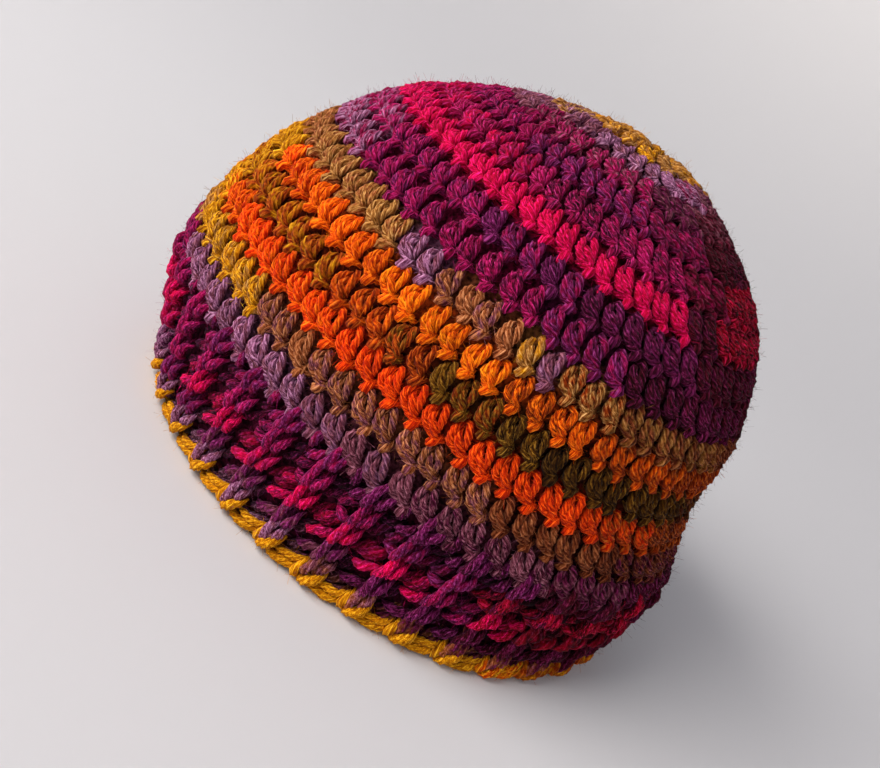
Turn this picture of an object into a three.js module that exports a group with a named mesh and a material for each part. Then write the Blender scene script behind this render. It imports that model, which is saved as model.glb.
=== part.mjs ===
import * as THREE from 'three';

// A crocheted beanie standing on its rim. Millimetres, +Z up, the wearer's front toward -Y
// and the wearer's left toward +X. It is worked round and round, so every size along the wall
// is counted in rounds of stitches, from the rim at 0 to the middle of the crown.

const WALL = 5.0;
const GAP = 0.3;
const FULL_ROUND = 68;
const ROUNDS_TO_CROWN = 18;
const WALL_LENGTH = 212;

// The form, a row for each level up the wall: the share of the way from rim to crown, then the
// height, how far back the middle lies, half the length and half the width in mm, the tilt
// toward the back in degrees, and how much wider the round is at the back than half way.
const SIZES = ['height', 'middle', 'half_length', 'half_width', 'tilt', 'back_fuller'];
const LEVELS = [
  [0.00, 0.0, 5.0, 94.5, 81.5, 0.0, 0.07],
  [0.20, 41.0, 0.5, 105.5, 80.5, -2.0, 0.13],
  [0.36, 74.0, -1.5, 99.0, 80.0, -3.5, 0.13],
  [0.52, 104.0, 5.5, 89.0, 73.0, -4.0, 0.11],
  [0.68, 131.5, 8.0, 69.5, 57.0, -2.0, 0.08],
  [0.84, 151.5, 8.5, 36.0, 29.0, 0.0, 0.04],
  [1.00, 159.5, 15.0, 0.0, 0.0, 0.0, 0.00],
].map(([share, ...values]) => {
  const level = { share };
  SIZES.forEach((size, i) => { level[size] = values[i]; });
  return level;
});

// The pieces, a row for each, with the rounds where it starts and ends, and its yarn colour.
const PIECES = {
  rim_edge: { from: 0.0, to: 0.6, colour: 0xc98a1a },
  ribbed_band: { from: 0.6, to: 3.6, colour: 0x6b2352 },
  sides: { from: 3.6, to: 8.6, colour: 0xc65a22 },
  crown: { from: 8.6, to: 18.0, colour: 0x8a1f57 },
};

const RIBS = FULL_ROUND / 2;
const RIB_PHASE = 0.15;          // where the first rib stands, in ribs from the middle of the back
const RIB_TOP = 1.0;             // ribs stand this far out of the wall's middle line
const RIB_HOLLOW = -2.6;
const ROUND_TOP = 0.9;           // a round of stitches swells out, and sinks where it joins the next
const ROUND_JOIN = -1.3;
const EDGE_SCALLOP = 0.7;
const EDGE_BODY = -0.4;
const EDGE_LIP = -1.2;
const UPRIGHT_ROUNDS = 1.2;      // the wall stands square on the surface up to here
const ANGLE_SAMPLES = 720;
const NUDGE = 1e-3;

// Between two levels every size follows a smooth curve. The row past the crown mirrors the one
// before it, so that the top comes out round and not pointed.
const pole = LEVELS[LEVELS.length - 1];
const beforePole = LEVELS[LEVELS.length - 2];
const pastPole = {
  share: 2 * pole.share - beforePole.share,
  height: beforePole.height,
  middle: 2 * pole.middle - beforePole.middle,
  half_length: -beforePole.half_length,
  half_width: -beforePole.half_width,
  tilt: beforePole.tilt,
  back_fuller: beforePole.back_fuller,
};
const rows = [...LEVELS, pastPole];

function slope(index, size) {
  const before = rows[Math.max(index - 1, 0)];
  const after = rows[Math.min(index + 1, rows.length - 1)];
  return (after[size] - before[size]) / (after.share - before.share);
}

function levelAt(share) {
  let index = 0;
  while (index < LEVELS.length - 2 && share >= rows[index + 1].share) index += 1;
  const step = rows[index + 1].share - rows[index].share;
  const s = (share - rows[index].share) / step;
  const level = {};
  for (const size of SIZES) {
    level[size] = (2 * s ** 3 - 3 * s ** 2 + 1) * rows[index][size]
      + (s ** 3 - 2 * s ** 2 + s) * step * slope(index, size)
      + (3 * s ** 2 - 2 * s ** 3) * rows[index + 1][size]
      + (s ** 3 - s ** 2) * step * slope(index + 1, size);
  }
  return level;
}

// A point on the smooth form. The angle runs from the wearer's left toward the back.
function formPoint(share, angle) {
  const level = levelAt(share);
  const lean = THREE.MathUtils.degToRad(level.tilt);
  const along = level.half_length * Math.sin(angle);
  const across = level.half_width * Math.cos(angle) * (1 + level.back_fuller * Math.sin(angle));
  return new THREE.Vector3(
    across, level.middle + along * Math.cos(lean), level.height + along * Math.sin(lean));
}

function outward(share, angle) {
  const near = Math.min(share, 1 - NUDGE);
  const here = formPoint(near, angle);
  const round = formPoint(near, angle + NUDGE).sub(here);
  const up = formPoint(near + NUDGE, angle).sub(here);
  const normal = round.cross(up).normalize();
  normal.z *= Math.min(1, share * ROUNDS_TO_CROWN / UPRIGHT_ROUNDS);
  return normal.normalize();
}

// Stations share a round out evenly by length, as stitches do. They start at the middle of the
// back and go by the wearer's left to the front.
function stationAngles(share, stations) {
  const angles = [];
  const lengths = [0];
  let last = null;
  for (let i = 0; i <= ANGLE_SAMPLES; i += 1) {
    const angle = Math.PI / 2 - 2 * Math.PI * i / ANGLE_SAMPLES;
    const point = formPoint(Math.min(share, 1 - NUDGE), angle);
    if (last) lengths.push(lengths[i - 1] + point.distanceTo(last));
    last = point;
  }
  let i = 0;
  for (let k = 0; k < stations; k += 1) {
    const wanted = lengths[ANGLE_SAMPLES] * k / stations;
    while (lengths[i + 1] < wanted) i += 1;
    const part = (wanted - lengths[i]) / (lengths[i + 1] - lengths[i]);
    angles.push(Math.PI / 2 - 2 * Math.PI * (i + part) / ANGLE_SAMPLES);
  }
  return angles;
}

// One ring of points on the wall, moved out or in by an amount that may change round it.
function ring(rounds, stations, offset) {
  const share = rounds / ROUNDS_TO_CROWN;
  return stationAngles(share, stations).map((angle, k) => {
    const out = typeof offset === 'function' ? offset(k / stations) : offset;
    return formPoint(share, angle).addScaledVector(outward(share, angle), out);
  });
}

// A closed wall from rings in order: up the outside and down the inside. With tips, two points
// over the middle of the crown, it closes there, between the outer and the inner rings.
function wall(name, rings, tips = null) {
  const stations = rings[0].length;
  const points = rings.flat();
  const faces = [];
  const join = (low, high) => {
    for (let k = 0; k < stations; k += 1) {
      const next = (k + 1) % stations;
      const [a, b] = [low * stations + k, low * stations + next];
      const [c, d] = [high * stations + next, high * stations + k];
      faces.push(a, c, b, a, d, c);
    }
  };
  const outer = tips ? tips.outerRings : rings.length;
  for (let r = 0; r + 1 < rings.length; r += 1) {
    if (r !== outer - 1) join(r, r + 1);
  }
  join(rings.length - 1, 0);
  if (tips) {
    points.push(tips.outside, tips.inside);
    const top = points.length - 2;
    for (let k = 0; k < stations; k += 1) {
      const next = (k + 1) % stations;
      faces.push((outer - 1) * stations + k, top, (outer - 1) * stations + next);
      faces.push(outer * stations + k, outer * stations + next, top + 1);
    }
  }
  const geometry = new THREE.BufferGeometry().setFromPoints(points);
  geometry.setIndex(faces);
  geometry.computeVertexNormals();
  const material = new THREE.MeshStandardMaterial({
    color: PIECES[name].colour, roughness: 0.95, metalness: 0,
  });
  const mesh = new THREE.Mesh(geometry, material);
  mesh.name = name;
  return mesh;
}

const gapInRounds = GAP * ROUNDS_TO_CROWN / WALL_LENGTH;

// The mustard foundation round: a cord-like edge with a scallop for each stitch, flat below.
function rimEdge() {
  const { from, to } = PIECES.rim_edge;
  const top = to - gapInRounds;
  const stations = 2 * FULL_ROUND;
  const scallop = (around) => EDGE_BODY + EDGE_SCALLOP * Math.cos(2 * Math.PI * FULL_ROUND * around);
  return wall('rim_edge', [
    ring(from, stations, EDGE_LIP),
    ring(from + 0.35 * (top - from), stations, scallop),
    ring(from + 0.75 * (top - from), stations, EDGE_BODY),
    ring(top, stations, EDGE_LIP),
    ring(top, stations, -WALL),
    ring(from, stations, -WALL),
  ]);
}

// The fitted band: raised ribs from the rim to the first plain round, a rib over every second stitch.
function ribbedBand() {
  const { from, to } = PIECES.ribbed_band;
  const top = to - gapInRounds;
  const stations = 4 * RIBS;
  const middle = (RIB_TOP + RIB_HOLLOW) / 2;
  const swing = (RIB_TOP - RIB_HOLLOW) / 2;
  const rib = (height) => (around) => (
    middle + height * swing * Math.cos(2 * Math.PI * (RIBS * around - RIB_PHASE)));
  const outside = [];
  const ribHeights = [0.55, 1.0, 0.85, 1.0, 0.85, 1.0, 0.6];
  ribHeights.forEach((height, i) => {
    outside.push(ring(from + (top - from) * i / (ribHeights.length - 1), stations, rib(height)));
  });
  const inside = [top, (from + top) / 2, from].map((rounds) => ring(rounds, stations, -WALL));
  return wall('ribbed_band', [...outside, ...inside]);
}

// Plain rounds, one above another, each swelling between the two joins.
function roundedRings(from, to, stations) {
  const rings = [];
  for (let start = from; start < to - 0.5; start += 1) {
    rings.push(ring(start, stations, ROUND_JOIN));
    rings.push(ring(start + 0.5, stations, ROUND_TOP));
  }
  return rings;
}

function sides() {
  const { from, to } = PIECES.sides;
  const top = to - gapInRounds;
  const inside = [top, from + 0.67 * (to - from), from + 0.33 * (to - from), from];
  return wall('sides', [
    ...roundedRings(from, to, FULL_ROUND),
    ring(top, FULL_ROUND, ROUND_JOIN),
    ...inside.map((rounds) => ring(rounds, FULL_ROUND, -WALL)),
  ]);
}

// The crown: the rounds that lose stitches toward the middle, drawn shut at the top.
function crown() {
  const { from, to } = PIECES.crown;
  const outside = roundedRings(from, to - 0.4, FULL_ROUND);
  const insideRounds = [to - 1.2, to - 3.2, to - 5.2, to - 7.2, from];
  const inside = insideRounds.map((rounds) => ring(rounds, FULL_ROUND, -WALL));
  const top = formPoint(1, 0);
  return wall('crown', [...outside, ...inside], {
    outerRings: outside.length,
    outside: top.clone().add(new THREE.Vector3(0, 0, ROUND_JOIN)),
    inside: top.clone().add(new THREE.Vector3(0, 0, -WALL)),
  });
}

const beanie = new THREE.Group();
beanie.add(rimEdge(), ribbedBand(), sides(), crown());

export default beanie;
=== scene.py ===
import math

import bpy
import numpy as np
from mathutils import Matrix, Vector


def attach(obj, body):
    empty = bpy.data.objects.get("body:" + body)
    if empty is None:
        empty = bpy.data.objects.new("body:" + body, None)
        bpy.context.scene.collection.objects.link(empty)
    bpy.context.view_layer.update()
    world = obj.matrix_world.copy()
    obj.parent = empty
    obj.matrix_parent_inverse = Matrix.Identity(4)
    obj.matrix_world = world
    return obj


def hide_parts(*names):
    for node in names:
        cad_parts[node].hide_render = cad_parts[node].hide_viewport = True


# A crocheted wool beanie standing on its rim. Lengths are in millimetres until a mesh is made.
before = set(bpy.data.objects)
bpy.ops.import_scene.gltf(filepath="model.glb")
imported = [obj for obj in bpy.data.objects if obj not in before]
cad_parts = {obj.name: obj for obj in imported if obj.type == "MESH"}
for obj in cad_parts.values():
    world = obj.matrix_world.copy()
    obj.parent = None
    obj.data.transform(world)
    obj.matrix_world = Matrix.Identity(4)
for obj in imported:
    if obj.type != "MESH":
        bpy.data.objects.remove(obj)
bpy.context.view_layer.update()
MM = 0.001

# Camera
# The photo looks slightly down on the wearer's left side, with the camera turned on its side
# by about 35 degrees, so that the stripes run down to the right.
CAMERA_PLACE = (326.0, -28.6, 186.4)
CAMERA_FORWARD = (-0.956, 0.084, -0.283)
CAMERA_RIGHT = (-0.093, 0.825, 0.558)
IMAGE_WIDTH = 880
FOCAL_PIXELS = 965.07
SENSOR = 36.0
# How far the picture is moved to frame the hat as the photo does, in shares of its width.
FRAME_SHIFT = (-0.0812, -0.1116)

camera = bpy.data.objects.new("camera", bpy.data.cameras.new("camera"))
bpy.context.scene.collection.objects.link(camera)
backward = -Vector(CAMERA_FORWARD).normalized()
rightward = Vector(CAMERA_RIGHT)
rightward = (rightward - backward * rightward.dot(backward)).normalized()
upward = backward.cross(rightward)
camera.matrix_world = (
    Matrix.Translation(Vector(CAMERA_PLACE) * MM)
    @ Matrix((rightward, upward, backward)).transposed().to_4x4())
camera.data.sensor_width = SENSOR
camera.data.lens = SENSOR * FOCAL_PIXELS / IMAGE_WIDTH
camera.data.shift_x, camera.data.shift_y = FRAME_SHIFT
camera.data.clip_start = 0.01
camera.data.clip_end = 50
bpy.context.scene.camera = camera
bpy.context.scene.view_settings.view_transform = "Standard"

# Studio
# A pale painted sweep: a flat floor that curves up all round into a wall, so that no edge or
# horizon shows. Soft daylight comes from high at the wearer's front, the room gives a little
# back from behind the camera, and a weak lamp lights the wall at the far side.
FLOOR_RADIUS = 400
SWEEP_RADIUS = 1800
WALL_HEIGHT = 2600
SWEEP_STEPS = 16
SWEEP_SIDES = 96


def linear(hex_colour):
    """An sRGB hex value as linear red, green, blue and alpha."""
    channels = [int(hex_colour[i:i + 2], 16) / 255 for i in (0, 2, 4)]
    return [c / 12.92 if c <= 0.04045 else ((c + 0.055) / 1.055) ** 2.4 for c in channels] + [1.0]


def add_node(tree, kind, settings=None, **inputs):
    """Adds a node. Its inputs go by name, or by number as _0; a socket is linked, and any
    other value is set."""
    node = tree.nodes.new(kind)
    for name, value in (settings or {}).items():
        setattr(node, name, value)
    for name, value in inputs.items():
        index = int(name[1:]) if name[0] == "_" else name.replace("_", " ")
        socket = node.inputs[index]
        if isinstance(value, bpy.types.NodeSocket):
            tree.links.new(value, socket)
        else:
            socket.default_value = value
    return node


def new_material(name):
    """An empty material with its output node."""
    material = bpy.data.materials.new(name)
    material.use_nodes = True
    tree = material.node_tree
    tree.nodes.clear()
    return material, tree, tree.nodes.new("ShaderNodeOutputMaterial")


def mesh_object(name, points, faces, edges=()):
    """A mesh from points in millimetres."""
    mesh = bpy.data.meshes.new(name)
    mesh.from_pydata((np.asarray(points, float) * MM).tolist(), list(edges), list(faces))
    made = bpy.data.objects.new(name, mesh)
    bpy.context.scene.collection.objects.link(made)
    return made


# Matt emulsion paint: an even, slightly cool pale grey with no gloss.
paint, tree, out = new_material("matt pale paint")
shader = add_node(tree, "ShaderNodeBsdfPrincipled", Base_Color=linear("D8D7DA"), Roughness=0.9)
tree.links.new(shader.outputs[0], out.inputs["Surface"])

sweep_line = [(0.0, 0.0), (FLOOR_RADIUS, 0.0)]
for step in range(1, SWEEP_STEPS + 1):
    turn = math.pi / 2 * step / SWEEP_STEPS
    sweep_line.append((FLOOR_RADIUS + SWEEP_RADIUS * math.sin(turn),
                       SWEEP_RADIUS * (1 - math.cos(turn))))
sweep_line.append((FLOOR_RADIUS + SWEEP_RADIUS, WALL_HEIGHT))
sweep_points = [(0.0, 0.0, 0.0)]
for radius, height in sweep_line[1:]:
    for k in range(SWEEP_SIDES):
        angle = 2 * math.pi * k / SWEEP_SIDES
        sweep_points.append((radius * math.cos(angle), radius * math.sin(angle), height))
sweep_faces = [(0, 1 + k, 1 + (k + 1) % SWEEP_SIDES) for k in range(SWEEP_SIDES)]
for r in range(len(sweep_line) - 2):
    for k in range(SWEEP_SIDES):
        a = 1 + r * SWEEP_SIDES
        n = (k + 1) % SWEEP_SIDES
        sweep_faces.append((a + k, a + SWEEP_SIDES + k, a + SWEEP_SIDES + n, a + n))
floor = mesh_object("floor_sweep", sweep_points, sweep_faces)
floor.data.materials.append(paint)
for face in floor.data.polygons:
    face.use_smooth = True

LIGHTS = [
    # name, place, aims at, width and height in mm, watts, colour, spread in degrees
    ("window", (600, -1400, 1000), (0, 0, 80), (1600, 1600), 54, "FFFBF6", 180),
    ("room", (1300, 700, 900), (0, 0, 60), (1400, 1400), 1.2, "E9EEFF", 180),
    ("backdrop", (-900, 200, 1900), (-1700, 400, 700), (600, 600), 2.2, "FFF8EC", 80),
]
for name, place, aim, size, watts, colour, spread in LIGHTS:
    lamp = bpy.data.lights.new(name, "AREA")
    lamp.shape = "RECTANGLE"
    lamp.size, lamp.size_y = size[0] * MM, size[1] * MM
    lamp.energy = watts
    lamp.spread = math.radians(spread)
    lamp.color = linear(colour)[:3]
    light = bpy.data.objects.new(name, lamp)
    bpy.context.scene.collection.objects.link(light)
    toward = Vector(aim) - Vector(place)
    light.matrix_world = (Matrix.Translation(Vector(place) * MM)
                          @ toward.to_track_quat("-Z", "Y").to_matrix().to_4x4())

world = bpy.data.worlds.new("soft daylight")
bpy.context.scene.world = world
world.use_nodes = True
world.node_tree.nodes["Background"].inputs["Color"].default_value = linear("EEF0F6")
world.node_tree.nodes["Background"].inputs["Strength"].default_value = 0.3

# The form that all pieces follow
# The beanie is worked round and round from the rim, so a place on it is counted in rounds
# up from the rim and in shares of a round, from the back by the wearer's left to the front.
ROUNDS = 18.0
FULL_ROUND = 68
ROUND_TALL = 11.8
STITCH_WIDE = 8.5
UPRIGHT_ROUNDS = 1.2
# A row for each level up the wall: the share of the way from rim to crown, then the height, how
# far back the middle lies, half the length and half the width, the tilt toward the back in
# degrees, and how much wider the round is at the back than half way.
FORM = np.array([
    [0.00, 0.0, 5.0, 94.5, 81.5, 0.0, 0.07],
    [0.20, 41.0, 0.5, 105.5, 80.5, -2.0, 0.13],
    [0.36, 74.0, -1.5, 99.0, 80.0, -3.5, 0.13],
    [0.52, 104.0, 5.5, 89.0, 73.0, -4.0, 0.11],
    [0.68, 131.5, 8.0, 69.5, 57.0, -2.0, 0.08],
    [0.84, 151.5, 8.5, 36.0, 29.0, 0.0, 0.04],
    [1.00, 159.5, 15.0, 0.0, 0.0, 0.0, 0.0],
])
# The row past the crown mirrors the one before it, so that the top comes out round.
mirrored = FORM[-2] * [-1, 1, -1, -1, -1, 1, 1] + np.array([2, 0, 2 * FORM[-1, 2], 0, 0, 0, 0])
LEVELS = np.vstack([FORM, mirrored])
GRID_ROWS, GRID_AROUND = 541, 680
ANGLE_STEPS = 1440
TOP_SHARE = 0.9995


def form_sizes(share):
    """Every column of the form at a share of the way up, on smooth curves."""
    at, values = LEVELS[:, 0], LEVELS[:, 1:]
    last = len(at) - 1
    i = min(int(np.searchsorted(at, share, side="right")) - 1, last - 2)

    def slope(k):
        low, high = max(k - 1, 0), min(k + 1, last)
        return (values[high] - values[low]) / (at[high] - at[low])

    step = at[i + 1] - at[i]
    s = (share - at[i]) / step
    return ((2 * s**3 - 3 * s**2 + 1) * values[i] + (s**3 - 2 * s**2 + s) * step * slope(i)
            + (3 * s**2 - 2 * s**3) * values[i + 1] + (s**3 - s**2) * step * slope(i + 1))


def form_ring(share, angles):
    """Points of the smooth form; the angle runs from the wearer's left toward the back."""
    height, middle, half_length, half_width, tilt, fuller = form_sizes(share)
    along = half_length * np.sin(angles)
    lean = math.radians(tilt)
    return np.stack([half_width * np.cos(angles) * (1 + fuller * np.sin(angles)),
                     middle + along * math.cos(lean), height + along * math.sin(lean)], -1)


# The form is worked out once, on a grid that shares each round out evenly by length, with the
# directions that point straight out of it. Near the rim the wall stands square on the floor.
form_grid = np.zeros((GRID_ROWS, GRID_AROUND + 1, 3))
fine = math.pi / 2 - np.linspace(0, 2 * math.pi, ANGLE_STEPS + 1)
for row in range(GRID_ROWS):
    share = min(row / (GRID_ROWS - 1), TOP_SHARE)
    line = form_ring(share, fine)
    run = np.concatenate([[0], np.cumsum(np.linalg.norm(np.diff(line, axis=0), axis=1))])
    angles = np.interp(np.linspace(0, run[-1], GRID_AROUND + 1), run, fine)
    form_grid[row] = form_ring(share, angles)
around = np.roll(form_grid[:, :-1], -1, 1) - np.roll(form_grid[:, :-1], 1, 1)
upward_steps = np.gradient(form_grid[:, :-1], axis=0)
form_out = np.cross(upward_steps, around)
form_out = form_out / np.linalg.norm(form_out, axis=2, keepdims=True)
near_rim = np.clip(np.arange(GRID_ROWS) / (GRID_ROWS - 1) * ROUNDS / UPRIGHT_ROUNDS, 0, 1)
form_out[..., 2] *= near_rim[:, None]
form_out = form_out / np.linalg.norm(form_out, axis=2, keepdims=True)
form_out = np.concatenate([form_out, form_out[:, :1]], 1)


def on_form(rounds, share_around, out):
    """Points on the wall, out by some millimetres, from arrays of rounds and shares."""
    y = np.clip(rounds / ROUNDS, 0, 1) * (GRID_ROWS - 1)
    x = (share_around % 1.0) * GRID_AROUND
    i = np.minimum(y.astype(int), GRID_ROWS - 2)
    j = np.minimum(x.astype(int), GRID_AROUND - 1)
    fy, fx = (y - i)[..., None], (x - j)[..., None]

    def mixed(grid):
        return ((grid[i, j] * (1 - fx) + grid[i, j + 1] * fx) * (1 - fy)
                + (grid[i + 1, j] * (1 - fx) + grid[i + 1, j + 1] * fx) * fy)

    return mixed(form_grid) + mixed(form_out) * np.asarray(out)[..., None]


# The yarn
# Soft bulky wool, spun from several plies and space dyed, so the stitches stripe and marl.
# A Geometry Nodes tree lays it along each strand's path: five plies that twist round each
# other, with the loose, uneven surface of fibre.
YARN = {
    "mustard": "D89C1C", "amber": "F29418", "orange": "EC7410", "red_orange": "EA560E",
    "rust": "A64C12", "brown": "804428", "olive": "805A1A", "dark_olive": "523610",
    "tan": "AE7048", "khaki": "B4844C", "mauve": "925868", "lavender": "A87494",
    "magenta": "A81E60", "pink": "DA1262", "purple": "7E2A62", "plum": "6A1C46",
    "wine": "5A162A", "crimson": "AC123A",
}
YARN_WIDTH = 2.4
PLIES = 5
# How fine the yarn's wandering and its bumps are, in waves for each metre.
WANDER_SCALE = 260.0
FLUFF_SCALE = 700.0
# Loose hairs: how steeply they rise, how far they turn in radians, and their shares of length.
HAIR_RISE = 0.45
HAIR_TURN_FROM = (-0.4, -0.75, -math.pi)
HAIR_TURN_TO = (0.4, 0.05, math.pi)
HAIR_SHORTEST, HAIR_LONGEST = 0.45, 1.3

yarn_tree = bpy.data.node_groups.new("yarn along paths", "GeometryNodeTree")
yarn_tree.interface.new_socket("Paths", in_out="INPUT", socket_type="NodeSocketGeometry")
for name, kind, default in [
        ("Yarn Width", "NodeSocketFloat", YARN_WIDTH * MM),
        ("Ring Spacing", "NodeSocketFloat", 1.45 * MM),
        ("Groove Depth", "NodeSocketFloat", 0.24),
        ("Unevenness", "NodeSocketFloat", 0.6 * MM),
        ("Hairs", "NodeSocketFloat", 115000.0),
        ("Hair Length", "NodeSocketFloat", 2.8 * MM),
        ("Hair Width", "NodeSocketFloat", 0.06 * MM),
        ("Seed", "NodeSocketFloat", 3.0),
        ("Wool", "NodeSocketMaterial", None)]:
    socket = yarn_tree.interface.new_socket(name, in_out="INPUT", socket_type=kind)
    if default is not None:
        socket.default_value = default
yarn_tree.interface.new_socket("Yarn", in_out="OUTPUT", socket_type="NodeSocketGeometry")


def build_yarn_tree(tree):
    """Paths go in, and plied yarn with loose hairs comes out as one mesh."""
    given = add_node(tree, "NodeGroupInput").outputs
    place = add_node(tree, "GeometryNodeInputPosition").outputs[0]

    def maths(operation, *values):
        inputs = {f"_{i}": value for i, value in enumerate(values)}
        return add_node(tree, "ShaderNodeMath", {"operation": operation}, **inputs).outputs[0]

    def vector_maths(operation, **values):
        return add_node(tree, "ShaderNodeVectorMath", {"operation": operation}, **values).outputs[0]

    # The strand's line, smooth, evenly spaced and slightly wandering.
    line = add_node(tree, "GeometryNodeMeshToCurve", _0=given["Paths"]).outputs[0]
    line = add_node(tree, "GeometryNodeCurveSplineType", {"spline_type": "CATMULL_ROM"},
                    Curve=line).outputs[0]
    line = add_node(tree, "GeometryNodeResampleCurve", {"mode": "LENGTH"},
                    Curve=line, Length=given["Ring Spacing"]).outputs[0]
    wander = add_node(tree, "ShaderNodeTexNoise", {"noise_dimensions": "4D"},
                      Vector=place, W=given["Seed"], Scale=WANDER_SCALE, Detail=1.0)
    wander = vector_maths("SUBTRACT", _0=wander.outputs["Color"], _1=(0.5, 0.5, 0.5))
    wander_by = add_node(tree, "ShaderNodeVectorMath", {"operation": "SCALE"}, _0=wander)
    tree.links.new(maths("MULTIPLY", given["Unevenness"], 2.0), wander_by.inputs["Scale"])
    line = add_node(tree, "GeometryNodeSetPosition", Geometry=line,
                    Offset=wander_by.outputs[0]).outputs[0]
    length = add_node(tree, "GeometryNodeSplineParameter").outputs["Length"]
    index = add_node(tree, "GeometryNodeInputIndex").outputs[0]
    ply_turn = add_node(tree, "GeometryNodeInputNamedAttribute", {"data_type": "FLOAT"},
                        Name="ply_turn").outputs[0]
    turn = maths("MULTIPLY", maths("DIVIDE", length, ply_turn), -2 * math.pi)
    line = add_node(tree, "GeometryNodeSetCurveTilt", Curve=line, Tilt=turn).outputs[0]
    fullness = add_node(tree, "GeometryNodeInputNamedAttribute", {"data_type": "FLOAT"},
                        Name="fullness").outputs[0]
    line = add_node(tree, "GeometryNodeStoreNamedAttribute",
                    {"data_type": "FLOAT", "domain": "POINT"}, Geometry=line,
                    Name="along", Value=length).outputs[0]

    # The yarn's section: a ply bulges at every second point, with a groove between.
    section = add_node(tree, "GeometryNodeCurvePrimitiveCircle", {"mode": "RADIUS"},
                       Resolution=2 * PLIES).outputs[0]
    tree.links.new(maths("MULTIPLY", given["Yarn Width"], 0.5),
                   section.node.inputs["Radius"])
    in_groove = maths("MODULO", index, 2.0)
    shrink = maths("SUBTRACT", 1.0, maths("MULTIPLY", in_groove, given["Groove Depth"]))
    bulged = add_node(tree, "ShaderNodeVectorMath", {"operation": "SCALE"}, _0=place)
    tree.links.new(shrink, bulged.inputs["Scale"])
    section = add_node(tree, "GeometryNodeSetPosition", Geometry=section,
                       Position=bulged.outputs[0]).outputs[0]
    section = add_node(tree, "GeometryNodeStoreNamedAttribute",
                       {"data_type": "FLOAT", "domain": "POINT"}, Geometry=section,
                       Name="groove", Value=in_groove).outputs[0]
    ply_noise = add_node(tree, "ShaderNodeTexWhiteNoise", {"noise_dimensions": "1D"},
                         W=maths("FLOOR", maths("MULTIPLY", index, 0.5))).outputs["Value"]
    section = add_node(tree, "GeometryNodeStoreNamedAttribute",
                       {"data_type": "FLOAT", "domain": "POINT"}, Geometry=section,
                       Name="ply", Value=ply_noise).outputs[0]
    turned = vector_maths("NORMALIZE", _0=place)
    section = add_node(tree, "GeometryNodeStoreNamedAttribute",
                       {"data_type": "FLOAT_VECTOR", "domain": "POINT"}, Geometry=section,
                       Name="around", Value=turned).outputs[0]

    yarn = add_node(tree, "GeometryNodeCurveToMesh", Curve=line, Scale=fullness, Fill_Caps=True)
    tree.links.new(section, yarn.inputs["Profile Curve"])
    yarn = yarn.outputs[0]

    # Loose fibre makes the surface uneven.
    fluff = add_node(tree, "ShaderNodeTexNoise", {"noise_dimensions": "4D"},
                     Vector=place, W=given["Seed"], Scale=FLUFF_SCALE, Detail=1.0)
    fluff = maths("SUBTRACT", fluff.outputs[0], 0.5)
    normal = add_node(tree, "GeometryNodeInputNormal").outputs[0]
    lifted = add_node(tree, "ShaderNodeVectorMath", {"operation": "SCALE"}, _0=normal)
    tree.links.new(maths("MULTIPLY", fluff, given["Unevenness"]), lifted.inputs["Scale"])
    yarn = add_node(tree, "GeometryNodeSetPosition", Geometry=yarn,
                    Offset=lifted.outputs[0]).outputs[0]
    yarn = add_node(tree, "GeometryNodeSetShadeSmooth", Geometry=yarn).outputs[0]

    # Loose hairs stand off the yarn: short straight ribbons that rise from one end and are
    # turned any way.
    roots = add_node(tree, "GeometryNodeDistributePointsOnFaces", Mesh=yarn,
                     Density=given["Hairs"], Seed=7)
    hair = add_node(tree, "GeometryNodeMeshGrid", Size_X=given["Hair Length"],
                    Size_Y=given["Hair Width"], Vertices_X=2, Vertices_Y=2).outputs[0]
    apart = add_node(tree, "ShaderNodeSeparateXYZ", Vector=place)
    reach = maths("ADD", apart.outputs[0], maths("MULTIPLY", given["Hair Length"], 0.5))
    rising = add_node(tree, "ShaderNodeCombineXYZ", X=reach, Y=apart.outputs[1],
                      Z=maths("MULTIPLY", reach, HAIR_RISE))
    hair = add_node(tree, "GeometryNodeSetPosition", Geometry=hair,
                    Position=rising.outputs[0]).outputs[0]
    swing = add_node(tree, "FunctionNodeRandomValue", {"data_type": "FLOAT_VECTOR"},
                     _0=HAIR_TURN_FROM, _1=HAIR_TURN_TO, Seed=5).outputs[0]
    stand = add_node(tree, "FunctionNodeRotateRotation", {"rotation_space": "LOCAL"},
                     Rotation=roots.outputs["Rotation"])
    spin = add_node(tree, "FunctionNodeEulerToRotation", Euler=swing).outputs[0]
    tree.links.new(spin, stand.inputs["Rotate By"])
    long = add_node(tree, "FunctionNodeRandomValue", {"data_type": "FLOAT"},
                    _2=HAIR_SHORTEST, _3=HAIR_LONGEST, Seed=9).outputs[1]
    hairs = add_node(tree, "GeometryNodeInstanceOnPoints", Points=roots.outputs["Points"],
                     Instance=hair, Rotation=stand.outputs[0], Scale=long).outputs[0]
    both = add_node(tree, "GeometryNodeJoinGeometry")
    tree.links.new(hairs, both.inputs[0])
    tree.links.new(yarn, both.inputs[0])
    yarn = add_node(tree, "GeometryNodeRealizeInstances", Geometry=both.outputs[0]).outputs[0]
    yarn = add_node(tree, "GeometryNodeSetMaterial", Geometry=yarn, Material=given["Wool"])
    result = add_node(tree, "NodeGroupOutput")
    tree.links.new(yarn.outputs[0], result.inputs[0])


build_yarn_tree(yarn_tree)
# The fibres' noise: how fine it is, how it runs along the plies, how much it goes by place, and
# its values from the darkest fibre to the lightest.
FIBRE_SCALE = 3.3
FIBRES_ALONG = 260.0
FIBRES_BY_PLACE = 120.0
FIBRE_RANGE = (0.36, 0.62)
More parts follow.
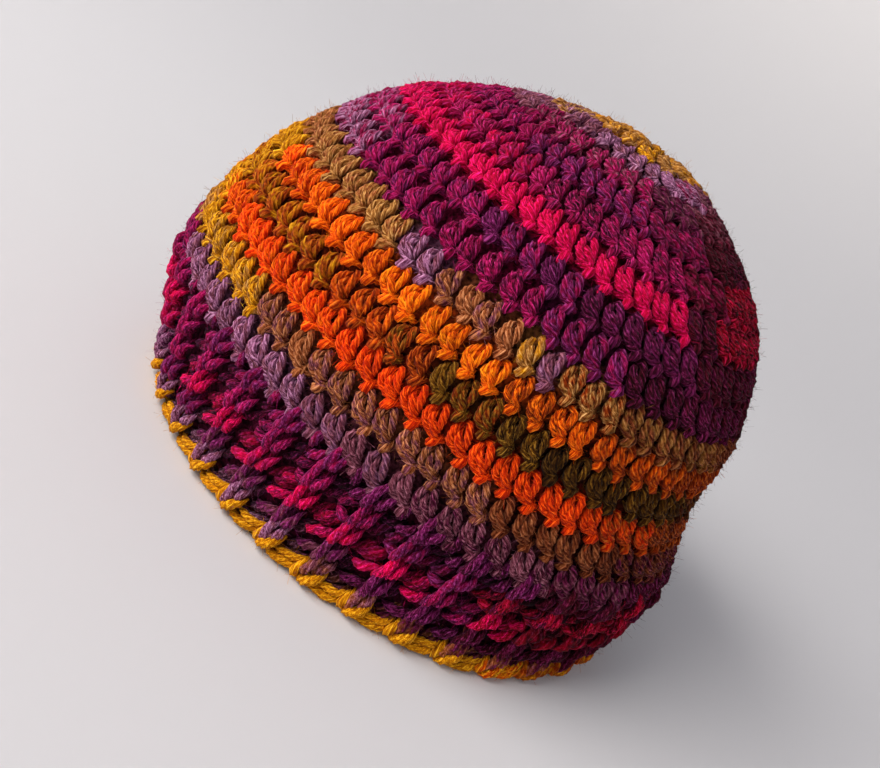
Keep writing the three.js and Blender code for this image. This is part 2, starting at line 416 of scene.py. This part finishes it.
# How much the ply, a slow drift from place to place, and the fibres decide on the second colour.
PLY_SAYS, DRIFT_SAYS, FIBRES_SAY = 0.7, 2.4, -3.0
DRIFT_SCALE, PATCH_SCALE = 420.0, 900.0
FIBRE_HEIGHT = 0.25


def build_wool(name, painted_groove_shade=0.5):
    """Spun wool, space dyed: matt, with painted shade that darkens and deepens the colour between
    plies, fibres that run along the plies, and each ply with more or less of the second colour."""
    material, tree, out = new_material(name)

    def attribute(called, output="Fac"):
        return add_node(tree, "ShaderNodeAttribute", {"attribute_name": called}).outputs[output]

    def maths(operation, *values):
        inputs = {f"_{i}": value for i, value in enumerate(values)}
        return add_node(tree, "ShaderNodeMath", {"operation": operation}, **inputs).outputs[0]

    def mixed(blend, factor, one, other):
        node = add_node(tree, "ShaderNodeMix", {"data_type": "RGBA", "blend_type": blend})
        for index, value in ((0, factor), (6, one), (7, other)):
            if isinstance(value, bpy.types.NodeSocket):
                tree.links.new(value, node.inputs[index])
            else:
                node.inputs[index].default_value = value
        return node.outputs[2]

    def ranged(value, low, high, to_low=0.0, to_high=1.0):
        return add_node(tree, "ShaderNodeMapRange", Value=value, _1=low, _2=high, _3=to_low,
                        _4=to_high).outputs[0]

    # The second colour comes and goes along the plies. Fibres run with them, 0.3 mm apart.
    place = add_node(tree, "ShaderNodeTexCoord").outputs["Object"]
    turned = add_node(tree, "ShaderNodeVectorMath", {"operation": "SCALE"},
                      _0=attribute("around", "Vector"))
    turned.inputs["Scale"].default_value = YARN_WIDTH / 2
    run = add_node(tree, "ShaderNodeCombineXYZ", Z=maths("MULTIPLY", attribute("along"), FIBRES_ALONG))
    fibre_place = add_node(tree, "ShaderNodeVectorMath", {"operation": "ADD"},
                           _0=turned.outputs[0], _1=run.outputs[0])
    by_place = add_node(tree, "ShaderNodeVectorMath", {"operation": "SCALE"}, _0=place)
    by_place.inputs["Scale"].default_value = FIBRES_BY_PLACE
    fibre_place = add_node(tree, "ShaderNodeVectorMath", {"operation": "ADD"},
                           _0=fibre_place.outputs[0], _1=by_place.outputs[0])
    fibres = add_node(tree, "ShaderNodeTexNoise", Vector=fibre_place.outputs[0],
                      Scale=FIBRE_SCALE, Detail=3.0, Roughness=0.7).outputs[0]
    drift = add_node(tree, "ShaderNodeTexNoise", Vector=place, Scale=DRIFT_SCALE,
                     Detail=2.0).outputs[0]
    by_ply = maths("MULTIPLY", maths("SUBTRACT", attribute("ply"), 0.55), PLY_SAYS)
    by_drift = maths("MULTIPLY", maths("SUBTRACT", drift, 0.5), DRIFT_SAYS)
    by_fibre = maths("MULTIPLY", maths("SUBTRACT", fibres, 0.5), FIBRES_SAY)
    share = maths("ADD", maths("ADD", by_ply, by_drift), by_fibre)
    colour = mixed("MIX", ranged(share, -0.3, 0.4), attribute("main_colour", "Color"),
                   attribute("second_colour", "Color"))
    # Painted shade: the grooves between plies are painted darker and deeper in colour, not grey,
    # and patchy from place to place. The fibres differ in lightness at random, the darker ones
    # deeper in colour.
    patchy = add_node(tree, "ShaderNodeTexNoise", Vector=place, Scale=PATCH_SCALE).outputs[0]
    in_groove = maths("MULTIPLY", attribute("groove"), ranged(patchy, 0.35, 0.6, 0.35, 1.0))
    deepness = maths("ADD", ranged(fibres, *FIBRE_RANGE, 1.6, 0.8),
                     maths("MULTIPLY", in_groove, 0.6))
    colour = add_node(tree, "ShaderNodeGamma", Color=colour, Gamma=deepness).outputs[0]
    colour = mixed("MULTIPLY", 1.0, colour, ranged(fibres, *FIBRE_RANGE, 0.45, 1.5))
    # Painted shade: the grooves are darkened to the given share of their colour.
    colour = mixed("MULTIPLY", 1.0, colour, ranged(in_groove, 0.1, 0.9, 1.0, painted_groove_shade))
    raised = add_node(tree, "ShaderNodeBump", Strength=0.9, Height=fibres)
    raised.inputs["Distance"].default_value = FIBRE_HEIGHT * MM
    shader = add_node(tree, "ShaderNodeBsdfPrincipled", Base_Color=colour, Roughness=0.92,
                      Normal=raised.outputs[0])
    shader.inputs["Specular IOR Level"].default_value = 0.08
    shader.inputs["Sheen Weight"].default_value = 0.02
    shader.inputs["Sheen Roughness"].default_value = 0.45
    tree.links.new(shader.outputs[0], out.inputs["Surface"])
    return material


def laid_yarn(name, strands, wool):
    """Yarn along strands: each its points, main and second colour, fullness and ply turn."""
    points = np.concatenate([strand[0] for strand in strands])
    counts = [len(strand[0]) for strand in strands]
    edges, first = [], 0
    for count in counts:
        edges.extend((first + i, first + i + 1) for i in range(count - 1))
        first += count
    made = mesh_object(name, points, [], edges)
    for attribute_name, part in (("main_colour", 1), ("second_colour", 2)):
        values = np.concatenate([
            np.broadcast_to(np.asarray(strand[part], float), (count, 4))
            for strand, count in zip(strands, counts)])
        layer = made.data.attributes.new(attribute_name, "FLOAT_COLOR", "POINT")
        layer.data.foreach_set("color", values.astype(np.float32).ravel())
    turns = [np.full(count, strand[4]) * MM for strand, count in zip(strands, counts)]
    for attribute_name, values in (("fullness", [strand[3] for strand in strands]),
                                   ("ply_turn", turns)):
        layer = made.data.attributes.new(attribute_name, "FLOAT", "POINT")
        layer.data.foreach_set("value", np.concatenate(values))
    modifier = made.modifiers.new("yarn", "NODES")
    modifier.node_group = yarn_tree
    wool_input = next(item for item in yarn_tree.interface.items_tree if item.name == "Wool")
    modifier[wool_input.identifier] = wool
    graph = bpy.context.evaluated_depsgraph_get()
    finished = bpy.data.meshes.new_from_object(
        made.evaluated_get(graph), preserve_all_data_layers=True, depsgraph=graph)
    # What reaches below the rim lies flat on the floor.
    places = np.empty(len(finished.vertices) * 3, np.float32)
    finished.vertices.foreach_get("co", places)
    places[2::3] = np.maximum(places[2::3], 0.0)
    finished.vertices.foreach_set("co", places)
    made.modifiers.clear()
    paths = made.data
    made.data = finished
    bpy.data.meshes.remove(paths)
    return made


# Sides
# Five rounds of half double crochet over 68 stitches, worked in the round from the band.
# Each stitch shows two petals round a small hole, two wraps that sweep down to the right,
# and a foot that reaches into the round below.
STRANDS = {
    # the length in which its plies turn once round each other, then its path: across to the
    # right, up, out, in mm for a stitch 8.5 wide and 11.8 tall, and how full the yarn is there
    "right_petal": (11.0, [
        (-0.6, 2.0, -2.4, 0.7), (-0.5, 3.4, -0.6, 0.95), (0.4, 2.7, 0.4, 1.1),
        (1.0, 0.9, 0.8, 1.15), (1.5, -1.2, 0.7, 1.1), (1.8, -3.3, 0.2, 1.0),
        (2.1, -5.3, -1.2, 0.7)]),
    "left_petal": (9.0, [
        (-0.9, 1.4, -2.4, 0.7), (-1.9, 1.8, -0.5, 0.95), (-2.7, 0.4, 0.4, 1.1),
        (-2.9, -1.7, 0.8, 1.15), (-2.4, -3.9, 0.8, 1.15), (-1.3, -5.2, 0.6, 1.1),
        (0.3, -5.8, 0.2, 1.0), (1.8, -5.9, -1.2, 0.7)]),
    "middle_wrap": (13.0, [
        (-1.1, 0.8, -1.8, 0.6), (-1.3, -0.5, 0.4, 0.95), (-1.0, -2.0, 1.1, 1.15),
        (-0.1, -3.3, 1.2, 1.15), (1.1, -4.4, 1.0, 1.1), (2.1, -5.7, 0.4, 1.0),
        (2.6, -6.9, -1.4, 0.6)]),
    "lower_wrap": (13.0, [
        (-1.8, -5.2, -2.2, 0.6), (-0.6, -6.1, -0.2, 0.95), (0.9, -6.3, 0.4, 1.05),
        (2.2, -6.5, 0.5, 1.05), (3.4, -6.6, -0.1, 1.0), (4.6, -6.7, -1.4, 0.8),
        (5.4, -6.8, -2.8, 0.5)]),
    "foot": (14.0, [
        (3.6, -5.7, -1.8, 0.7), (3.1, -6.8, 0.2, 1.3), (2.4, -7.9, 0.8, 1.5),
        (1.8, -8.9, 0.6, 1.4), (1.3, -9.8, -0.3, 0.9), (1.1, -10.3, -1.2, 0.2)]),
}
# A round's stitches have their middle this far above its line, in rounds.
STITCH_ABOVE = 0.1
# The rounds with their stitches: how high, how many, how far the first stands from the back in
# stitches, how wide they are worked, and how far they lean in degrees.
STITCHES = {
    "A": (4.1, 68, 0.30, 1.15, 0), "B": (5.1, 68, 0.85, 1.1, 0), "C": (6.1, 68, 0.48, 1.15, 0),
    "D": (7.1, 68, 0.20, 1.0, 0), "E": (8.1, 68, 0.08, 1.0, 0), "F": (9.1, 68, 0.85, 1.05, 3),
    "G": (10.1, 63, 0.7, 0.95, 9), "H": (11.1, 61, 0.3, 1.0, 8), "I": (12.1, 59, 0.1, 1.05, 8),
    "J": (13.1, 55, 0.7, 1.05, 7), "K": (14.1, 46, 0.4, 1.0, 6), "L": (15.1, 36, 0.2, 1.1, 4),
    "M": (16.1, 25, 0.6, 1.1, 2), "N": (17.1, 12, 0.3, 1.1, 0),
}
# The yarn's colours round by round: from this station on, counted down from the front at 34
# to the back at 0, the plies are in the first and the second colour.
FRONT = FULL_ROUND // 2
STRIPES = {
    "A": [(34, "magenta", "purple"), (30.5, "lavender", "mauve"), (22, "mauve", "lavender"),
          (17, "mauve", "plum"), (11, "plum", "mauve"), (7, "plum", "wine")],
    "B": [(34, "khaki", "mustard"), (31, "mustard", "khaki"), (25.8, "tan", "mauve"),
          (14, "brown", "tan"), (8, "brown", "plum")],
    "C": [(34, "mustard", "orange"), (31, "orange", "red_orange"),
          (28.5, "red_orange", "orange"), (22, "red_orange", "red_orange"),
          (10.3, "rust", "red_orange"), (7, "rust", "brown")],
    "D": [(34, "mustard", "rust"), (31, "rust", "mustard"), (24, "rust", "orange"),
          (21, "rust", "olive"), (18.5, "olive", "rust"), (16, "olive", "dark_olive"),
          (13.5, "dark_olive", "olive"), (6, "dark_olive", "brown")],
    "E": [(34, "mustard", "mustard"), (30.5, "orange", "red_orange"), (27, "orange", "orange"),
          (22.5, "orange", "amber"), (17, "orange", "rust"), (12.5, "rust", "orange"),
          (8, "rust", "rust")],
    "F": [(34, "tan", "khaki"), (30, "khaki", "tan"), (23.8, "lavender", "mauve"),
          (21.4, "tan", "mauve"), (17.5, "khaki", "mustard"), (16.4, "mauve", "lavender"),
          (15.3, "khaki", "rust"), (12, "brown", "khaki"), (5, "brown", "brown")],
    "G": [(34, "lavender", "magenta"), (28, "magenta", "purple"), (23, "magenta", "plum"),
          (18, "purple", "magenta"), (13.5, "plum", "wine"), (5, "wine", "wine")],
    "H": [(34, "magenta", "lavender"), (29, "magenta", "purple"), (22, "purple", "magenta"),
          (16, "plum", "purple"), (10, "wine", "plum")],
    "I": [(34, "pink", "magenta"), (30, "pink", "pink"), (11.3, "wine", "plum"),
          (9, "crimson", "wine")],
    "J": [(34, "magenta", "pink"), (21, "magenta", "plum"), (11, "wine", "magenta"),
          (8, "crimson", "wine")],
    "K": [(34, "magenta", "purple"), (25, "purple", "magenta"), (15, "plum", "magenta"),
          (9, "wine", "plum")],
    "L": [(34, "mauve", "lavender"), (30, "magenta", "mauve"), (15, "plum", "mauve"),
          (8, "wine", "mauve")],
    "M": [(34, "khaki", "lavender"), (31, "mauve", "lavender"), (26, "lavender", "mauve"),
          (13, "lavender", "magenta"), (7, "mauve", "plum")],
    "N": [(34, "khaki", "mustard"), (21, "mustard", "khaki"), (14, "khaki", "mustard")],
}
ORDER = list(STITCHES)
# How far the yarn's path lies within the form's surface, which the rounds above the band
# reach little by little, in mm and in rounds.
STITCH_SINK = -2.4
SINK_FROM, SINK_OVER = 2.6, 3.0
# Where a round passes over into the next behind, in shares of the hidden half.
PASSES_FROM, PASSES_AT, PASSES_TO = 0.35, 0.5, 0.65
# How much one stitch differs from the next: the share of them in one colour only, their tone,
# their lean in degrees, their height and width, and in mm the place of the stitch and its strands.
PLAIN_STITCHES = 0.12
TONE_SPREAD = 0.26
LEAN_SPREAD = 3.5
TALL_SPREAD, WIDE_SPREAD = 0.03, 0.05
STITCH_SPREAD, STRAND_SPREAD = 0.28, 0.18
LESS_OUTWARD = [1, 1, 0.7]
draw = np.random.RandomState(11)


def yarn_colours(name, station):
    """The two colours of a stitch. Behind, a round passes over into the start of the next."""
    if station <= FRONT:
        row = [r for r in STRIPES[name] if station <= r[0]][-1]
        return row[1], row[2]
    after = STRIPES[ORDER[min(ORDER.index(name) + 1, len(ORDER) - 1)]][-1]
    before = STRIPES[name][0]
    reach = station / FRONT - 1
    if reach < PASSES_FROM:
        return before[1], before[2]
    if reach < PASSES_AT:
        return before[1], after[1]
    if reach < PASSES_TO:
        return after[1], before[2]
    return after[1], after[2]


def stitch_strands(name):
    """The strands of one round of stitches, each a little different from the next."""
    middle, count, first, width, lean = STITCHES[name]
    sink = STITCH_SINK * min(1.0, (middle - SINK_FROM) / SINK_OVER)
    strands = []
    for k in range(count):
        centre = k + first
        station = centre / count * FULL_ROUND
        main, second = yarn_colours(name, station)
        if draw.rand() < PLAIN_STITCHES:
            second = main
        tone = 1 + TONE_SPREAD * (draw.rand() - 0.5)
        colours = [np.array(linear(YARN[c])) * [tone, tone, tone, 1] for c in (main, second)]
        turn = math.radians(draw.normal(lean, LEAN_SPREAD))
        tall, wide = 1 + draw.normal(0, TALL_SPREAD), width + draw.normal(0, WIDE_SPREAD)
        shift = draw.normal(0, STITCH_SPREAD, 3) * LESS_OUTWARD + [0, 0, sink]
        for ply_turn, path in STRANDS.values():
            fullness = np.array(path)[:, 3]
            spot = np.array(path)[:, :3] * [wide, tall, 1] + shift
            spot = spot + draw.normal(0, STRAND_SPREAD, spot.shape)
            across = spot[:, 0] * math.cos(turn) - spot[:, 1] * math.sin(turn)
            up = spot[:, 0] * math.sin(turn) + spot[:, 1] * math.cos(turn)
            places = on_form(middle + up / ROUND_TALL,
                             (centre - across / STITCH_WIDE) / count, spot[:, 2])
            strands.append((places, colours[0], colours[1], fullness, ply_turn))
    return strands


sides_wool = build_wool("space dyed wool, orange and olive")
for piece_name, names in (("sides_stitches_low", "AB"), ("sides_stitches_high", "CDE")):
    strands = [s for name in names for s in stitch_strands(name)]
    piece = laid_yarn(piece_name, strands, sides_wool)
    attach(piece, "root")
    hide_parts("sides")

# Crown
# Nine rounds of the same stitch that lose stitches toward the middle of the top.
crown_wool = build_wool("space dyed wool, magenta and purple")
for piece_name, names in (("crown_stitches_low", "FGH"), ("crown_stitches_middle", "IJK"),
                          ("crown_stitches_top", "LMN")):
    strands = [s for name in names for s in stitch_strands(name)]
    piece = laid_yarn(piece_name, strands, crown_wool)
    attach(piece, "root")
    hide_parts("crown")

# Ribbed band
# Three rounds of post stitches, worked round the posts below in front and behind by turns, so
# that 34 slim ribs stand out and lean a little, with slanting bars and deep holes between.
RIBS = FULL_ROUND // 2
# In stitches: where the first rib stands, and how far the ribs lean toward the back for each
# round above the level at which they stand there.
RIB_STATION = 0.25
RIB_LEAN = 0.28
LEAN_FROM = 2.0
# Where each step of a rib starts, in mm above the rim, and the row of its colours.
STEPS = [(3.6, "foot"), (9.8, "low"), (18.0, "middle"), (26.4, "upper"), (34.6, "high")]
STEP_STRANDS = {
    "post": (15.0, [
        (-0.8, -1.8, -2.8, 0.3), (-0.9, -0.7, -0.8, 0.8), (-0.9, 0.6, 0.9, 1.15),
        (-0.7, 2.8, 1.7, 1.35), (-0.4, 5.8, 1.8, 1.35), (-0.1, 8.4, 1.2, 1.2),
        (0.2, 10.0, -0.2, 0.85), (0.3, 11.2, -2.4, 0.3)]),
    "leaf": (10.0, [
        (1.2, 0.6, -2.4, 0.3), (1.4, 1.4, -0.9, 0.8), (1.8, 2.6, 0.5, 1.25),
        (2.5, 4.1, 1.1, 1.5), (3.3, 5.7, 1.0, 1.4), (4.0, 7.2, 0.1, 1.0),
        (4.5, 8.4, -1.4, 0.5), (4.7, 9.0, -2.4, 0.15)]),
    "tuck": (12.0, [
        (1.2, -0.4, -2.6, 0.5), (1.0, 1.8, -0.8, 1.2), (1.6, 5.0, -0.5, 1.3),
        (2.2, 7.6, -1.0, 1.1), (2.4, 9.4, -2.8, 0.5)]),
}
# The strands between two ribs: the middle, across from the rib and up from the rim, how long,
# how steep in degrees, how far out, and how light beside the rib: painted shade makes the
# deeper bars darker.
BARS = [
    (11.0, 5.2, 6.5, 25, -1.2, 0.55), (12.2, 10.8, 8.5, 27, -0.8, 0.75),
    (11.7, 18.2, 8.0, 30, -0.3, 1.0), (11.6, 24.2, 6.0, 32, -0.9, 0.6),
    (13.8, 27.4, 5.5, -12, -0.4, 1.0), (12.6, 31.8, 7.0, 36, -0.8, 0.6),
    (12.6, 36.4, 5.5, 52, -0.5, 0.95), (9.4, 41.0, 7.5, 84, -0.7, 0.75),
    (7.0, 13.4, 8.0, 48, -2.6, 0.35), (8.4, 15.8, 9.0, 20, -2.7, 0.3),
    (7.4, 22.4, 8.5, 40, -2.6, 0.35), (7.6, 30.2, 8.5, 44, -2.6, 0.35),
    (8.8, 35.0, 8.0, 25, -2.7, 0.3), (8.2, 4.0, 9.0, 10, -1.9, 0.45),
    (9.4, 7.8, 8.5, 34, -2.2, 0.45), (10.5, 21.2, 7.0, 22, -1.9, 0.5),
]
BAR_TURN = 14.0
# Along a bar: the place in shares of its length, how far it sinks in mm, how full it is.
BAR_SHAPE = [(-0.62, 2.8, 0.15), (-0.52, 1.5, 0.7), (-0.36, 0.4, 1.15), (-0.14, 0.0, 1.45),
             (0.14, 0.0, 1.45), (0.36, 0.4, 1.15), (0.52, 1.5, 0.7), (0.62, 2.8, 0.15)]
BAND_STRIPES = {
    "foot": [(34, "lavender", "mauve"), (19, "mauve", "tan"), (15.5, "plum", "tan"),
             (12, "plum", "tan"), (8, "wine", "plum")],
    "low": [(34, "lavender", "purple"), (30, "purple", "magenta"), (26, "purple", "mauve"),
            (18, "purple", "plum"), (12.5, "plum", "wine"), (7, "wine", "plum")],
    "middle": [(34, "magenta", "pink"), (30, "magenta", "purple"), (27, "pink", "magenta"),
               (24, "magenta", "pink"), (21, "pink", "magenta"), (18.6, "magenta", "pink"),
               (16.8, "pink", "magenta"), (14.6, "magenta", "purple"),
               (12.6, "pink", "crimson"), (10.5, "wine", "crimson"), (4, "wine", "plum")],
    "upper": [(34, "pink", "magenta"), (29, "magenta", "purple"), (25, "magenta", "purple"),
              (18, "purple", "magenta"), (13, "crimson", "plum"), (9, "crimson", "wine"),
              (5, "wine", "plum")],
    "high": [(34, "magenta", "purple"), (28, "purple", "magenta"), (20, "purple", "plum"),
             (15, "purple", "plum"), (11.5, "wine", "plum"), (8, "crimson", "wine"),
             (5, "wine", "plum")],
}


def banded(rows, station):
    """The colours at a station of the band; the hidden half runs back the way it came."""
    station = station if station <= FRONT else FULL_ROUND - station
    row = [r for r in rows if station <= r[0]][-1]
    return np.array(linear(YARN[row[1]])), np.array(linear(YARN[row[2]]))


# How much the band's strands differ: their tone, the light and length of the bars, the slope of
# the bars in degrees, and in mm the place of each strand and of the points along it.
RIB_TONE_SPREAD = 0.25
BAR_LIGHT_SPREAD, BAR_LENGTH_SPREAD, BAR_SLOPE_SPREAD = 0.3, 0.08, 5
BAND_SPREAD, BAND_POINT_SPREAD = 0.2, 0.26
# Painted shade: the tuck strand, deep between the posts, is coloured this much darker.
TUCK_PAINTED_SHADE = 0.5


def laid_on_rib(path, rib, base, spread=BAND_POINT_SPREAD):
    """Places of a band strand, in mm across from the rib's middle and up from its base."""
    spot = np.array(path)[:, :3] + draw.normal(0, BAND_SPREAD, 3) * LESS_OUTWARD
    spot = spot + draw.normal(0, spread, spot.shape)
    rounds = (base + spot[:, 1]) / ROUND_TALL
    station = 2 * rib + RIB_STATION - RIB_LEAN * (rounds - LEAN_FROM) - spot[:, 0] / STITCH_WIDE
    return on_form(rounds, station / FULL_ROUND, spot[:, 2]), np.array(path)[:, 3]


rib_strands, bar_strands = [], []
for rib in range(RIBS):
    station = 2 * rib + RIB_STATION
    for base, row in STEPS:
        main, second = banded(BAND_STRIPES[row], station)
        tone = 1 + RIB_TONE_SPREAD * (draw.rand() - 0.5)
        for strand_name, (ply_turn, path) in STEP_STRANDS.items():
            # The tuck strand gets painted shade; the other strands a tone that differs at random.
            tone_or_painted_shade = TUCK_PAINTED_SHADE if strand_name == "tuck" else tone
            places, fullness = laid_on_rib(path, rib, base)
            rib_strands.append((places, main * tone_or_painted_shade, second * tone_or_painted_shade, fullness, ply_turn))
    for across, up, length, rise, out, light in BARS:
        base, row = [step for step in STEPS if step[0] < up + 0.5][-1]
        main, second = banded(BAND_STRIPES[row], station - across / STITCH_WIDE)
        slope = math.radians(rise + draw.normal(0, BAR_SLOPE_SPREAD))
        long = length * (1 + draw.normal(0, BAR_LENGTH_SPREAD))
        path = [(across + long * t * math.cos(slope), up + long * t * math.sin(slope),
                 out - sink, full) for t, sink, full in BAR_SHAPE]
        places, fullness = laid_on_rib(path, rib, 0.0)
        # The bar's painted shade, with a tone that differs at random.
        light = light * (1 + BAR_LIGHT_SPREAD * (draw.rand() - 0.5))
        bar_strands.append((places, main * light, second * light, fullness, BAR_TURN))
# The band's grooves take a lighter painted shade than the stitches' grooves.
band_wool = build_wool("space dyed wool, purple and pink", 0.75)
for piece_name, strands in (("band_ribs", rib_strands), ("band_bars", bar_strands)):
    piece = laid_yarn(piece_name, strands, band_wool)
    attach(piece, "root")
    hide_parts("ribbed_band")

# Rim edge
# The mustard foundation round: a loop leans on each side of a rib's foot, and a chain of the
# same yarn runs along the bottom from rib to rib, so that the rim is slightly scalloped.
EDGE_STRANDS = {
    "left_loop": [(-1.7, 8.0, -1.8, 0.4), (-2.0, 6.6, 0.4, 1.1), (-2.6, 4.6, 1.4, 1.35),
                  (-2.8, 2.9, 1.2, 1.35), (-2.2, 1.7, 0.0, 1.0), (-1.2, 1.2, -1.8, 0.6)],
    "right_loop": [(-1.4, 1.2, -1.8, 0.6), (-0.2, 2.1, 1.2, 1.2), (1.3, 3.6, 2.2, 1.5),
                   (2.9, 5.3, 2.3, 1.5), (4.2, 6.9, 1.2, 1.1), (5.0, 8.2, -1.0, 0.3)],
    "upper_chain": [(3.6, 3.2, -2.2, 0.6), (5.4, 3.6, -0.6, 1.0), (8.2, 4.3, 0.1, 1.15),
                    (11.0, 5.1, 0.2, 1.15), (13.2, 5.9, -0.3, 1.0), (14.6, 6.6, -2.0, 0.5)],
    "lower_chain": [(1.6, 1.2, -1.6, 0.6), (3.8, 1.4, 0.1, 1.05), (6.8, 1.8, 0.7, 1.2),
                    (9.8, 2.4, 0.9, 1.25), (12.6, 3.1, 0.5, 1.1), (14.6, 3.8, -1.4, 0.5)],
    "under_chain": [(-0.5, 1.3, -1.8, 0.8), (3.0, 1.35, -1.7, 0.95), (7.0, 1.4, -1.6, 0.95),
                    (11.0, 1.4, -1.6, 0.95), (14.0, 1.4, -1.6, 0.95), (16.6, 1.6, -1.8, 0.8)],
}
EDGE_TURN = 12.0
# The edge's strands stay this far above the floor where the yarn is of plain fullness, in mm.
EDGE_ABOVE = 1.3
EDGE_POINT_SPREAD = 0.1
EDGE_TONE_SPREAD = 0.2
# Painted shade: the chain that lies under the others is coloured this much darker.
UNDER_CHAIN_PAINTED_SHADE = 0.45
EDGE_STRIPES = [(34, "mustard", "mustard"), (12, "mustard", "orange"), (9, "rust", "mustard")]
edge_strands = []
for rib in range(RIBS):
    main, second = banded(EDGE_STRIPES, 2 * rib + RIB_STATION)
    for strand_name, path in EDGE_STRANDS.items():
        places, fullness = laid_on_rib(path, rib, 0.0, EDGE_POINT_SPREAD)
        places[:, 2] = np.maximum(places[:, 2], EDGE_ABOVE * fullness)
        tone = 1 + EDGE_TONE_SPREAD * (draw.rand() - 0.5)
        # Painted shade on the under chain.
        if strand_name == "under_chain":
            tone = tone * UNDER_CHAIN_PAINTED_SHADE
        edge_strands.append((places, main * tone, second * tone, fullness, EDGE_TURN))
# The edge's grooves take a lighter painted shade than the stitches' grooves.
edge_wool = build_wool("dyed wool, mustard", 0.7)
piece = laid_yarn("edge_chain", edge_strands, edge_wool)
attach(piece, "root")
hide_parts("rim_edge")

# Inner wall
# The back of the fabric: a sheet for the strands behind the stitches, seen between them as
# wool made dark by painted shade. It waves a little with the rounds and the stitches.
INNER_ROWS, INNER_AROUND = 62, 136
INNER_FROM, INNER_TO = 0.3, ROUNDS - 0.02
# How far out its two faces lie, and how much farther out they lie in the band, in mm.
OUTER_FACE, OUTER_IN_BAND = -5.0, 1.2
INNER_FACE, INNER_IN_BAND = -6.6, 0.9
WAVE_DEPTH, ROUND_WAVE, STITCH_WAVE = 0.3, 0.5, 0.35
EDGE_TOP, SIDES_FROM, BAND_FADES_AT = 0.5, 3.6, 3.9
rows = np.linspace(INNER_FROM, INNER_TO, INNER_ROWS)
shares = np.arange(INNER_AROUND) / INNER_AROUND
row_grid, share_grid = np.meshgrid(rows, shares, indexing="ij")
wave = (ROUND_WAVE * np.cos(2 * math.pi * (row_grid - STITCH_ABOVE))
        + STITCH_WAVE * np.cos(2 * math.pi * FULL_ROUND * share_grid))
in_band = np.clip(BAND_FADES_AT - row_grid, 0, 1)
outer, inner = [
    on_form(row_grid, share_grid, face + more * in_band + WAVE_DEPTH * wave).reshape(-1, 3)
    for face, more in ((OUTER_FACE, OUTER_IN_BAND), (INNER_FACE, INNER_IN_BAND))]
size = INNER_ROWS * INNER_AROUND
wall_faces = []
for r in range(INNER_ROWS - 1):
    for k in range(INNER_AROUND):
        n = (k + 1) % INNER_AROUND
        a, b = r * INNER_AROUND + k, r * INNER_AROUND + n
        c, d = b + INNER_AROUND, a + INNER_AROUND
        wall_faces.append((a, d, c, b))
        wall_faces.append((size + a, size + b, size + c, size + d))
for k in range(INNER_AROUND):
    n = (k + 1) % INNER_AROUND
    wall_faces.append((k, n, size + n, size + k))
top = (INNER_ROWS - 1) * INNER_AROUND
wall_faces.append([top + k for k in range(INNER_AROUND)][::-1])
wall_faces.append([size + top + k for k in range(INNER_AROUND)])
lining = mesh_object("inner_wall", np.vstack([outer, inner]), wall_faces)

# Back of wool stitches: matt, felted and mottled, dark with the painted shade in its colour.
felted, tree, out = new_material("felted back of wool stitches")
colour = add_node(tree, "ShaderNodeAttribute", {"attribute_name": "main_colour"}).outputs["Color"]
place = add_node(tree, "ShaderNodeTexCoord").outputs["Object"]
matted = add_node(tree, "ShaderNodeTexNoise", Vector=place, Scale=620.0, Detail=3.0).outputs[0]
light = add_node(tree, "ShaderNodeMapRange", Value=matted, _1=0.38, _2=0.66, _3=0.12, _4=1.0)
mottled = add_node(tree, "ShaderNodeVectorMath", {"operation": "SCALE"}, _0=colour)
tree.links.new(light.outputs[0], mottled.inputs["Scale"])
raised = add_node(tree, "ShaderNodeBump", Strength=1.0, Height=matted)
raised.inputs["Distance"].default_value = 0.8 * MM
shader = add_node(tree, "ShaderNodeBsdfPrincipled", Base_Color=mottled.outputs[0], Roughness=1.0,
                  Normal=raised.outputs[0])
shader.inputs["Specular IOR Level"].default_value = 0.1
tree.links.new(shader.outputs[0], out.inputs["Surface"])
lining.data.materials.append(felted)
names_by_round = {round(middle - STITCH_ABOVE): name
                  for name, (middle, *_) in STITCHES.items()}
ring_colours = np.zeros((INNER_ROWS, INNER_AROUND, 4))
# Painted shade: its colour is that of the round in front of it, deeper and darker, with a
# little painted warm light.
shadow_red = np.array(linear("2C0A12")) * [1, 1, 1, 0]
DEEPER = 1.3
WALL_LIGHT, BAND_LIGHT = 0.5, 0.6
for r, level in enumerate(rows):
    light = WALL_LIGHT if level > SIDES_FROM else BAND_LIGHT
    name = names_by_round.get(round(float(level) - STITCH_ABOVE))
    for k, share in enumerate(shares):
        if name:
            main = linear(YARN[yarn_colours(name, share * FULL_ROUND)[0]])
        else:
            main = linear(YARN["plum" if level > EDGE_TOP else "rust"])
        ring_colours[r, k] = np.array(main) ** DEEPER * [light, light, light, 1] + shadow_red
layer = lining.data.attributes.new("main_colour", "FLOAT_COLOR", "POINT")
layer.data.foreach_set("color", np.concatenate([ring_colours.reshape(-1, 4)] * 2)
                       .astype(np.float32).ravel())
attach(lining, "root")
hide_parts("sides")
